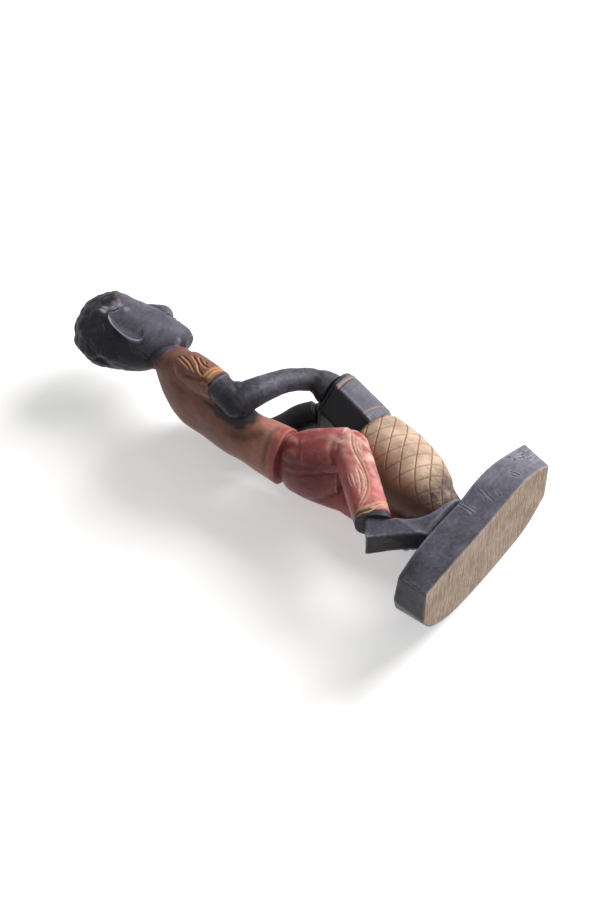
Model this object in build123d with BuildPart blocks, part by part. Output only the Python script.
from build123d import *
import os
from math import cos, radians, sin, tan

os.makedirs("parts", exist_ok=True)

# A carved drummer crouching on a plinth. Millimetres, +Z up, +X to the figure's left, and the
# figure faces -Y. The origin is on the plinth's underside. Points are written as
# (across, front, up): across to the figure's left, front along -Y, up from the underside.

# Driving dimensions: plinth
plinth_height = 24.0
plinth_near = 34.0  # half width on the figure's right
plinth_far = 34.5  # half width on the figure's left
plinth_back = 64.0
plinth_front = 68.0
plinth_point = 13.0  # how far the point of the top stands out in front of the underside

# Driving dimensions: feet and legs
foot_width = 17.0
foot_across = 23.0  # centre of each foot from the middle
heel_reach = 10.0  # from the ankle back to the heel, and from the ankle to the instep
heel_thickness = 7.2
sole_start = 11.0  # from the ankle to where the sole meets the plinth
toe_reach = 45.0  # from the ankle to the toes
toe_thickness = 2.5
heel_rounding = 4.0
toe_rounding = 9.0
sole_peg_reach = 17.0  # from the ankle to the sole's peg
right_ankle_front = -37.5
right_ankle_rise = 30.5  # from the plinth's top
left_ankle_front = -1.5
left_ankle_rise = 22.5
ankle_across = 24.5
ankle_slope = 20.0  # degrees that the joint falls towards the toes
leg_radius = 11.2
thigh_radius = 14.5  # at the hip
cuff_radius = 11.0
knee_across = 25.5
knee_front = -1.0
knee_rise = 74.5
hip_across = 13.0
hip_front = -11.5
hip_rise = 97.0
waist_front = -15.3
waist_rise = 112.0

# Driving dimensions: shirt
torso_height = 101.0
hem_width = 24.0  # half widths across the body
hem_depth = 14.0
chest_width = 30.0
chest_depth = 14.5
hem_step = 1.8  # how far the hem stands out over the trousers
collar_slope = 24.0  # degrees that the neck joint falls towards the front
sleeve_radius = 9.6
cuff_across = 31.5
right_cuff_front = -15.0
left_cuff_front = -4.0
cuff_drop = 50.0  # from the neck joint down to the sleeve's end

# Driving dimensions: head
neck_radius = 11.0
neck_front = 0.5
head_lean = 8.0  # degrees that the head leans back
head_turn = 18.0  # degrees that the face turns to the figure's right
head_height = 71.0
head_width = 21.5
head_depth = 23.5
head_front = 0.5
head_rise = 32.0  # the head's centre above the neck joint
ear_height = 28.0
ear_depth = 14.0
ear_thickness = 4.0
ear_forward = -1.0  # of the ear's centre, towards the face from the head's centre

# Driving dimensions: arms
elbow_radius = 8.2
wrist_radius = 6.4
elbow_drop = 15.0  # from the sleeve's end down to the elbow
forearm_arch = 10.0  # how far the forearm rises over a straight line from elbow to hand
forearm_bow = 4.5  # and how far it bows outwards
left_forearm_extra = 1.2  # how much stouter the left forearm is
hand_across = 12.0
hand_front = 34.2
hand_width = 7.6  # half width
hand_length = 11.2  # half length
fingers_across = 13.0
fingers_front = 38.0

# Driving dimensions: drum
drum_front = 6.5  # centre of the drum's foot
drum_rise = 112.0  # the playing face's seat above the plinth's top
drum_lean = 14.5  # degrees that the drum leans forward
drum_foot_radius = 11.0
drum_belly_radius = 23.0
drum_shoulder_radius = 20.2
drum_neck_radius = 17.6
collar_radius = 20.0
collar_height = 34.5
collar_foot = 6.0  # height of the tapered band at the collar's lower end
collar_arris = 4.0  # from the drum's axis back to the edges where the collar turns flat
collar_rear = 16.5  # from the drum's axis back to the collar's flat rear
collar_rear_width = 11.0  # half width of that rear
skin_thickness = 2.5
groove = 0.9

# Driving dimensions: pegs
peg_radius = 2.5
peg_length = 16.0
sole_peg_length = 9.0
peg_clearance = 0.05

deck = plinth_height
waist_up = deck + waist_rise
neck_up = waist_up + torso_height
drum_up = deck + drum_rise
skin_up = drum_up + skin_thickness
knee_up = deck + knee_rise
hip_up = deck + hip_rise
cuff_up = neck_up - cuff_drop
elbow_up = cuff_up - elbow_drop
sides = {"right": -1, "left": 1}
upright = Vector(0, 0, 1)


def point(across, front, up):
    """A point of the figure, from its distances to the left, to the front and up."""
    return Vector(across, -front, up)


def falling(degrees):
    """The normal of a joint that drops by this many degrees towards the front."""
    return Vector(0, -sin(radians(degrees)), cos(radians(degrees)))


def level(across, front, up, fall=0.0):
    """A plane across a limb or the body."""
    return Plane(origin=point(across, front, up), x_dir=(1, 0, 0), z_dir=falling(fall))


def level_at(spot):
    """A level plane through a point."""
    return Plane(origin=spot, x_dir=(1, 0, 0), z_dir=(0, 0, 1))


def oval(plane, across, depth):
    """An elliptical section on its plane."""
    with BuildSketch(plane) as section:
        Ellipse(across, depth)
    return section.sketch.face()


def along(points, radii):
    """Sections square to a run of points, each with its half width and half depth."""
    sections = []
    for n, (centre, (across, depth)) in enumerate(zip(points, radii)):
        heading = points[min(n + 1, len(points) - 1)] - points[max(n - 1, 0)]
        sections.append(oval(Plane(origin=centre, x_dir=(1, 0, 0), z_dir=heading), across, depth))
    return sections


def peg_hole(centre, direction, length=peg_length):
    """Cut a peg's hole, half of it on each side of the joint, in the part being made."""
    heading = direction.normalized()
    reach = length + 2 * peg_clearance
    with BuildSketch(Plane(origin=centre - heading * (reach / 2), z_dir=heading)) as mouth:
        Circle(peg_radius + peg_clearance)
    extrude(to_extrude=mouth.sketch.face(), amount=reach, mode=Mode.SUBTRACT)


def peg(centre, direction, length=peg_length):
    """Add a round peg, half of it on each side of the joint."""
    heading = direction.normalized()
    with BuildSketch(Plane(origin=centre - heading * (length / 2), z_dir=heading)) as end:
        Circle(peg_radius)
    extrude(to_extrude=end.sketch.face(), amount=length)


# Joint positions that pieces share
ankle_fronts = {"right": right_ankle_front, "left": left_ankle_front}
ankle_rises = {"right": right_ankle_rise, "left": left_ankle_rise}
cuff_fronts = {"right": right_cuff_front, "left": left_cuff_front}
forearm_extras = {"right": 0.0, "left": left_forearm_extra}
ankles = {}
soles = {}
knees = {}
cuffs = {}
elbows = {}
shoulders = {}
hands = {}
fingers = {}
for side, sign in sides.items():
    ankles[side] = point(sign * ankle_across, ankle_fronts[side], deck + ankle_rises[side])
    soles[side] = point(sign * foot_across, ankle_fronts[side] + sole_peg_reach, deck)
    knees[side] = point(sign * knee_across, knee_front, knee_up)
    cuffs[side] = point(sign * cuff_across, cuff_fronts[side], cuff_up)
    elbows[side] = point(sign * (cuff_across - 2.5), cuff_fronts[side] - 3, elbow_up)
    shoulder_front = (waist_front + 3 + cuff_fronts[side] + 8) / 2
    shoulders[side] = point(sign * (chest_width - 7), shoulder_front, neck_up - 23)
    hands[side] = point(sign * hand_across, hand_front, skin_up)
    fingers[side] = point(sign * fingers_across, fingers_front, skin_up)
ankle_normal = falling(ankle_slope)
neck_joint = point(0, neck_front, neck_up)
neck_normal = falling(collar_slope)
waist_joint = point(0, waist_front, waist_up)
drum_axis = falling(drum_lean)
drum_foot = point(0, drum_front, deck)
collar_run = drum_rise / cos(radians(drum_lean)) - collar_height
collar_seat = drum_foot + drum_axis * collar_run


# The plinth: a thick board, its top and underside sawn to slightly different outlines
near = plinth_near
far = plinth_far
back = plinth_back
front = plinth_front
with BuildPart() as plinth:
    with BuildSketch(Plane.XY) as underside:
        with BuildLine():
            Spline(
                (-near * 1.06, back),
                (-near * 0.98, back * 0.47),
                (-near * 0.91, -front * 0.07),
                (-near * 0.87, -front * 0.53),
                (-near * 0.65, -front * 0.81),
                (-near * 0.35, -front),
            )
            Line((-near * 0.35, -front), (far * 0.6, -front))
            Spline(
                (far * 0.6, -front),
                (far * 0.96, -front * 0.72),
                (far, -front * 0.28),
                (far * 0.91, back * 0.17),
                (far * 0.73, back * 0.56),
                (far * 0.36, back * 0.85),
                (-near * 0.12, back),
            )
            Line((-near * 0.12, back), (-near * 1.06, back))
        make_face()
    with BuildSketch(Plane.XY.offset(deck)) as deck_outline:
        with BuildLine():
            Spline(
                (-near * 0.72, back * 0.9),
                (-near * 0.9, back * 0.62),
                (-near * 0.9, back * 0.31),
                (-near * 0.79, -front * 0.07),
                (-near * 0.85, -front * 0.35),
                (-near * 0.68, -front * 0.66),
                (-near * 0.1, -front - plinth_point + 3),
            )
            Line((-near * 0.1, -front - plinth_point + 3), (far * 0.3, -front - plinth_point))
            Spline(
                (far * 0.3, -front - plinth_point),
                (far * 0.85, -front * 0.7),
                (far * 0.91, -front * 0.22),
                (far * 0.85, back * 0.23),
                (far * 0.67, back * 0.59),
                (far * 0.35, back * 0.88),
                (-near * 0.12, back * 0.96),
            )
            Line((-near * 0.12, back * 0.96), (-near * 0.72, back * 0.9))
        make_face()
    loft(sections=[underside.sketch.face(), deck_outline.sketch.face()])
    for side in sides:
        peg_hole(soles[side], upright, sole_peg_length)
    peg_hole(drum_foot, upright)
plinth.part.label = "plinth"
export_step(plinth.part, "parts/plinth.step")


# The feet: wedges with the heel raised and the sole sloping down to the plinth
def foot_block(side, sign):
    """One foot, its sole peg and its ankle peg let in."""
    start = ankle_fronts[side]
    rise = ankle_rises[side]
    drop = heel_reach * tan(radians(ankle_slope))
    toe = start + toe_reach
    heel = start - heel_reach
    left_edge = sign * foot_across + foot_width / 2
    right_edge = sign * foot_across - foot_width / 2
    with BuildSketch(Plane(origin=(left_edge, 0, deck), x_dir=(0, -1, 0), z_dir=(-1, 0, 0))) as profile:
        with BuildLine():
            Line((start + heel_reach, rise - drop), (heel, rise + drop))
            Line((heel, rise + drop), (heel + 0.5, rise + drop - heel_thickness))
            Line((heel + 0.5, rise + drop - heel_thickness), (start + sole_start, 0))
            Line((start + sole_start, 0), (toe, 0))
            Line((toe, 0), (toe, toe_thickness))
            Spline(
                (toe, toe_thickness),
                (start + toe_reach * 0.71, toe_thickness * 2.6),
                (start + toe_reach * 0.4, rise * 0.4),
                (start + heel_reach, rise - drop),
            )
        make_face()
    extrude(to_extrude=profile.sketch.face(), amount=foot_width)
    with BuildSketch(Plane.XY) as plan:
        with BuildLine():
            ThreePointArc(
                (right_edge, -heel - heel_rounding),
                (sign * foot_across, -heel),
                (left_edge, -heel - heel_rounding),
            )
            Line((left_edge, -heel - heel_rounding), (left_edge, -toe + toe_rounding))
            ThreePointArc(
                (left_edge, -toe + toe_rounding),
                (sign * foot_across, -toe),
                (right_edge, -toe + toe_rounding),
            )
            Line((right_edge, -toe + toe_rounding), (right_edge, -heel - heel_rounding))
        make_face()
    extrude(to_extrude=plan.sketch.face(), amount=deck + rise + 2 * drop, mode=Mode.INTERSECT)
    peg_hole(soles[side], upright, sole_peg_length)
    peg_hole(ankles[side], ankle_normal)


with BuildPart() as right_foot:
    foot_block("right", -1)
right_foot.part.label = "right_foot"
export_step(right_foot.part, "parts/right_foot.step")

with BuildPart() as left_foot:
    foot_block("left", 1)
left_foot.part.label = "left_foot"
export_step(left_foot.part, "parts/left_foot.step")


# The drum: a tapered body, a collar and a playing face, leaning forward from the plinth
with BuildPart() as drum_body:
    with BuildSketch(Plane(origin=drum_foot, x_dir=(1, 0, 0), z_dir=Vector(1, 0, 0).cross(drum_axis))):
        with BuildLine():
            Line((0, -5), (drum_foot_radius, -5))
            Spline(
                (drum_foot_radius, -5),
                (drum_foot_radius + 1, collar_run * 0.13),
                (drum_foot_radius + 3.5, collar_run * 0.245),
                (drum_belly_radius - 5, collar_run * 0.32),
                (drum_belly_radius - 1, collar_run * 0.48),
                (drum_belly_radius, collar_run * 0.68),
                (drum_belly_radius - 1, collar_run * 0.84),
                (drum_shoulder_radius, collar_run - 2),
                (drum_neck_radius, collar_run),
            )
            Line((drum_neck_radius, collar_run), (0, collar_run))
            Line((0, collar_run), (0, -5))
        make_face()
    revolve(axis=Axis(drum_foot, drum_axis))
    split(bisect_by=Plane.XY.offset(deck), keep=Keep.TOP)
    peg_hole(drum_foot, upright)
    peg_hole(collar_seat, drum_axis)
drum_body.part.label = "drum_body"
export_step(drum_body.part, "parts/drum_body.step")


def collar_outline(plane, inset=0.0):
    """The collar's section: round in front, with two cheeks and a flat at the rear."""
    radius = collar_radius - inset
    arris = collar_arris - inset
    arris_across = (radius**2 - arris**2) ** 0.5
    rear = collar_rear - inset
    rear_width = collar_rear_width - inset / 2
    with BuildSketch(plane) as section:
        with BuildLine():
            ThreePointArc((arris_across, arris), (0, -radius), (-arris_across, arris))
            Polyline((-arris_across, arris), (-rear_width, rear), (rear_width, rear), (arris_across, arris))
        make_face()
    return section.sketch.face()


def drum_level(run):
    """The plane square to the drum at a distance along its axis."""
    return Plane(origin=drum_foot + drum_axis * run, x_dir=(1, 0, 0), z_dir=drum_axis)


with BuildPart() as drum_collar:
    foot_end = collar_outline(drum_level(collar_run), collar_radius - drum_neck_radius)
    foot_top = collar_outline(drum_level(collar_run + collar_foot))
    loft(sections=[foot_end, foot_top])
    extrude(to_extrude=foot_top, amount=collar_height + 2 * collar_radius)
    split(bisect_by=Plane.XY.offset(drum_up), keep=Keep.BOTTOM)
    with BuildSketch(drum_level(collar_run + collar_foot)) as ring:
        Circle(collar_radius + 2)
        add(collar_outline(Plane.XY, groove), mode=Mode.SUBTRACT)
    extrude(to_extrude=ring.sketch.face(), amount=groove, mode=Mode.SUBTRACT)
    peg_hole(collar_seat, drum_axis)
drum_collar.part.label = "drum_collar"
export_step(drum_collar.part, "parts/drum_collar.step")

with BuildPart() as drum_skin:
    skin_outline = collar_outline(drum_level(collar_run), 0.6)
    extrude(to_extrude=skin_outline, amount=collar_height + 2 * collar_radius)
    split(bisect_by=Plane.XY.offset(drum_up), keep=Keep.TOP)
    split(bisect_by=Plane.XY.offset(skin_up), keep=Keep.BOTTOM)
    fillet(drum_skin.edges().group_by(Axis.Z)[-1], radius=skin_thickness * 0.4)
    for side in sides:
        peg_hole(hands[side], upright, 2 * skin_thickness)
drum_skin.part.label = "drum_skin"
export_step(drum_skin.part, "parts/drum_skin.step")


# The trousers: pelvis, thighs, knees and shins in one block
with BuildPart() as trousers:
    loft(
        sections=[
            oval(level(0, waist_front + 1, waist_up), hem_width - hem_step, hem_depth - hem_step - 1.8),
            oval(level(0, waist_front + 0.6, waist_up - 10), hem_width, hem_depth - 1.6),
            oval(level(0, waist_front + 2, waist_up - 20), hem_width + 1.5, hem_depth - 1.5),
            oval(level(0, waist_front + 6, waist_up - 29), hem_width, hem_depth - 3),
            oval(level(0, waist_front + 10, waist_up - 36), hem_width - 6, hem_depth - 6),
        ]
    )
    for side, sign in sides.items():
        hip = point(sign * hip_across, hip_front, hip_up)
        knee = knees[side]
        ankle = ankles[side]
        loft(sections=along([hip, knee], [(thigh_radius, thigh_radius), (leg_radius, leg_radius)]))
        with Locations(knee):
            Sphere(leg_radius)
        middle = knee * 0.45 + ankle * 0.55
        shin = along([knee, middle, ankle], [(leg_radius, leg_radius)] * 3)[:2]
        foot_end = Plane(origin=ankle, x_dir=(1, 0, 0), z_dir=ankle_normal * -1)
        loft(sections=[*shin, oval(foot_end, cuff_radius, cuff_radius)])
        peg_hole(ankle, ankle_normal)
    add(drum_body.part, mode=Mode.SUBTRACT)
    peg_hole(waist_joint, upright)
trousers.part.label = "trousers"
export_step(trousers.part, "parts/trousers.step")


# The shirt: torso and short sleeves
def torso_oval(share, advance, across, depth, fall=0.0):
    """A section of the torso, at shares of the way up and forward from the waist to the neck."""
    front = waist_front + (neck_front - waist_front) * advance
    return oval(level(0, front, waist_up + torso_height * share, fall), across, depth)


with BuildPart() as shirt:
    loft(
        sections=[
            oval(level(0, waist_front, waist_up), hem_width, hem_depth),
            torso_oval(0.14, -0.05, hem_width * 0.94, hem_depth * 0.97),
            torso_oval(0.27, -0.09, hem_width * 0.875, hem_depth * 0.9),
            torso_oval(0.415, 0.02, hem_width * 1.04, hem_depth * 1.0),
            torso_oval(0.595, 0.22, chest_width * 0.95, chest_depth * 0.97),
            torso_oval(0.77, 0.32, chest_width, chest_depth),
            torso_oval(0.89, 0.6, chest_width * 0.8, chest_depth * 0.93, collar_slope * 0.6),
            oval(level(0, neck_front, neck_up, collar_slope), neck_radius + 1, neck_radius + 1),
        ]
    )
    for side in sides:
        shoulder = shoulders[side]
        cuff = cuffs[side]
        start = shoulder - (cuff - shoulder) * 0.12
        loft(
            sections=along(
                [start, shoulder, (shoulder + cuff) / 2, cuff],
                [(7.5, 8), (10, 10.4), (10, 10.4), (sleeve_radius, sleeve_radius)],
            )
        )
        with Locations(shoulder):
            Sphere(sleeve_radius + 0.2)
        peg_hole(cuff, cuff - shoulder)
    peg_hole(waist_joint, upright)
    peg_hole(neck_joint, neck_normal)
shirt.part.label = "shirt"
export_step(shirt.part, "parts/shirt.step")


# The head with its neck, and the ears let into it
head_centre = point(0, head_front, neck_up + head_rise)
crown_way = falling(-head_lean)
face_way = Vector(0, -cos(radians(head_lean)), sin(radians(head_lean)))
left_way = Vector(1, 0, 0) * cos(radians(head_turn)) + face_way * sin(radians(head_turn))
head_plane = Plane(origin=head_centre, x_dir=left_way, z_dir=crown_way)


def head_point(across, forward, rise):
    """A point of the head, from its centre to the left, towards the face and to the crown."""
    return head_plane.from_local_coords(Vector(across, -forward, rise))


def head_oval(forward, rise, across, depth):
    """A section across the head."""
    return oval(Plane(origin=head_point(0, forward, rise), x_dir=left_way, z_dir=crown_way), across, depth)


half = head_height / 2
with BuildPart() as head:
    loft(
        sections=[
            head_oval(12, -half, 5, 4.5),
            head_oval(9.5, -half * 0.86, 11, 10),
            head_oval(4, -half * 0.55, 16.5, 17),
            head_oval(1.5, -half * 0.2, head_width * 0.93, head_depth * 0.9),
            head_oval(-0.5, half * 0.2, head_width, head_depth * 0.97),
            head_oval(-1, half * 0.5, head_width * 0.97, head_depth),
            head_oval(-1.5, half * 0.8, head_width * 0.76, head_depth * 0.78),
            head_oval(-2, half * 0.95, head_width * 0.45, head_depth * 0.48),
            head_oval(-2, half, head_width * 0.16, head_depth * 0.16),
        ]
    )
    # neck
    loft(
        sections=[
            oval(level(0, neck_front, neck_up, collar_slope), neck_radius, neck_radius),
            oval(level(0, neck_front, neck_up + 8, collar_slope / 2), neck_radius - 0.5, neck_radius),
            oval(level(0, neck_front - 3, neck_up + 20), neck_radius, neck_radius + 1),
        ]
    )
    # nose
    loft(
        sections=[
            head_oval(head_depth - 5, 5, 2.2, 3),
            head_oval(head_depth - 3, -4, 3, 5),
            head_oval(head_depth - 2.5, -11, 5.5, 6.5),
            head_oval(head_depth - 5, -15, 4.5, 5),
        ]
    )
    # brow, lips and chin, each an arch across the face
    for forward, rise, reach, deep, tall in [
        (head_depth - 5, 7, 14, 4, 3),
        (head_depth - 6.5, -20, 7, 5, 1.9),
        (head_depth - 7, -23.6, 6, 4.8, 1.9),
        (head_depth - 11, -31, 6, 5, 3.5),
    ]:
        arch = []
        for step, share in [(-1, 0.35), (-0.5, 0.9), (0, 1), (0.5, 0.9), (1, 0.35)]:
            centre = head_point(step * reach, forward - 0.02 * (step * reach) ** 2, rise)
            across_arch = Plane(origin=centre, x_dir=face_way, z_dir=left_way)
            arch.append(oval(across_arch, deep * share, tall * share))
        loft(sections=arch)
    # eyes
    for sign in sides.values():
        with Locations(head_point(sign * 9, head_depth - 7.5, 0)):
            Sphere(4.6)
    peg_hole(neck_joint, neck_normal)
head.part.label = "head"
export_step(head.part, "parts/head.step")


def ear_block(sign):
    """One ear: an oval plate with a raised rim, its inner side on the head."""
    outward = left_way * sign
    seat = head_point(sign * (head_width - 6), ear_forward, -2)
    plate = oval(Plane(origin=seat, x_dir=face_way, z_dir=outward), ear_depth / 2, ear_height / 2)
    extrude(to_extrude=plate, amount=6 + ear_thickness)
    bowl = head_point(sign * (head_width + ear_thickness - 2.5), ear_forward + 2, 0)
    bowl_plane = Plane(origin=bowl, x_dir=face_way, z_dir=outward)
    hollow = oval(bowl_plane, ear_depth / 2 - 2.5, ear_height / 2 - 5)
    extrude(to_extrude=hollow, amount=6, mode=Mode.SUBTRACT)
    add(head.part, mode=Mode.SUBTRACT)


with BuildPart() as right_ear:
    ear_block(-1)
right_ear.part.label = "right_ear"
export_step(right_ear.part, "parts/right_ear.step")

with BuildPart() as left_ear:
    ear_block(1)
left_ear.part.label = "left_ear"
export_step(left_ear.part, "parts/left_ear.step")


# The arms: a short upper arm, the elbow at the flank, the forearm bowed out to the hand
def arm_block(side, sign):
    """One arm from its sleeve's end to the hand, which rests along the playing face."""
    cuff = cuffs[side]
    elbow = elbows[side]
    hand = hands[side]
    extra = forearm_extras[side]
    sleeve_way = cuff - shoulders[side]
    arm_plane = Plane(origin=cuff, x_dir=(1, 0, 0), z_dir=sleeve_way)
    arm_end = oval(arm_plane, sleeve_radius - 1.2, sleeve_radius - 1.2)
    elbow_plane = Plane(origin=elbow, x_dir=(1, 0, 0), z_dir=elbow - cuff)
    elbow_end = oval(elbow_plane, elbow_radius - 0.4, elbow_radius - 0.4)
    loft(sections=[arm_end, elbow_end])
    with Locations(elbow):
        Sphere(elbow_radius)
    points = [elbow]
    for share, arch, bow in [(0.2, 0.48, 0.65), (0.5, 0.8, 1.0), (0.7, 1.0, 0.8), (0.85, 0.85, 0.45)]:
        run = elbow * (1 - share) + fingers[side] * share
        points.append(run + Vector(sign * forearm_bow * bow, 0, forearm_arch * arch - 2.4 * extra * share))
    radii = [
        elbow_radius - 0.3,
        elbow_radius - 0.5 + extra * 0.5,
        elbow_radius - 1 + extra,
        wrist_radius + 0.6 + extra,
        wrist_radius + extra * 0.6,
    ]
    loft(sections=along(points, [(radius, radius) for radius in radii]))
    wrist = points[-1]
    forward = Vector(0, -1, 0)
    palm = [
        oval(Plane(origin=hand, x_dir=(1, 0, 0), z_dir=upright), hand_width, hand_length),
        oval(level_at(hand * 0.7 + wrist * 0.3 + forward), hand_width, hand_length * 0.92),
        oval(level_at(hand * 0.35 + wrist * 0.65 + forward * 2), hand_width * 0.95, hand_length * 0.72),
        oval(level_at(wrist + upright * 1.5), wrist_radius * 0.8, wrist_radius * 0.8),
    ]
    loft(sections=palm)
    add(shirt.part, mode=Mode.SUBTRACT)
    peg_hole(cuff, sleeve_way)
    peg_hole(hand, upright, 2 * skin_thickness)


with BuildPart() as right_arm:
    arm_block("right", -1)
right_arm.part.label = "right_arm"
export_step(right_arm.part, "parts/right_arm.step")

with BuildPart() as left_arm:
    arm_block("left", 1)
left_arm.part.label = "left_arm"
export_step(left_arm.part, "parts/left_arm.step")


# The pegs that hold the blocks together
with BuildPart() as neck_peg:
    peg(neck_joint, neck_normal)
neck_peg.part.label = "neck_peg"
export_step(neck_peg.part, "parts/neck_peg.step")

with BuildPart() as waist_peg:
    peg(waist_joint, upright)
waist_peg.part.label = "waist_peg"
export_step(waist_peg.part, "parts/waist_peg.step")

with BuildPart() as right_sleeve_peg:
    peg(cuffs["right"], cuffs["right"] - shoulders["right"])
right_sleeve_peg.part.label = "right_sleeve_peg"
export_step(right_sleeve_peg.part, "parts/right_sleeve_peg.step")

with BuildPart() as left_sleeve_peg:
    peg(cuffs["left"], cuffs["left"] - shoulders["left"])
left_sleeve_peg.part.label = "left_sleeve_peg"
export_step(left_sleeve_peg.part, "parts/left_sleeve_peg.step")

with BuildPart() as right_ankle_peg:
    peg(ankles["right"], ankle_normal)
right_ankle_peg.part.label = "right_ankle_peg"
export_step(right_ankle_peg.part, "parts/right_ankle_peg.step")

with BuildPart() as left_ankle_peg:
    peg(ankles["left"], ankle_normal)
left_ankle_peg.part.label = "left_ankle_peg"
export_step(left_ankle_peg.part, "parts/left_ankle_peg.step")

with BuildPart() as right_sole_peg:
    peg(soles["right"], upright, sole_peg_length)
right_sole_peg.part.label = "right_sole_peg"
export_step(right_sole_peg.part, "parts/right_sole_peg.step")

with BuildPart() as left_sole_peg:
    peg(soles["left"], upright, sole_peg_length)
left_sole_peg.part.label = "left_sole_peg"
export_step(left_sole_peg.part, "parts/left_sole_peg.step")

with BuildPart() as drum_foot_peg:
    peg(drum_foot, upright)
drum_foot_peg.part.label = "drum_foot_peg"
export_step(drum_foot_peg.part, "parts/drum_foot_peg.step")

with BuildPart() as drum_neck_peg:
    peg(collar_seat, drum_axis)
drum_neck_peg.part.label = "drum_neck_peg"
export_step(drum_neck_peg.part, "parts/drum_neck_peg.step")

with BuildPart() as right_hand_peg:
    peg(hands["right"], upright, 2 * skin_thickness)
right_hand_peg.part.label = "right_hand_peg"
export_step(right_hand_peg.part, "parts/right_hand_peg.step")

with BuildPart() as left_hand_peg:
    peg(hands["left"], upright, 2 * skin_thickness)
left_hand_peg.part.label = "left_hand_peg"
export_step(left_hand_peg.part, "parts/left_hand_peg.step")
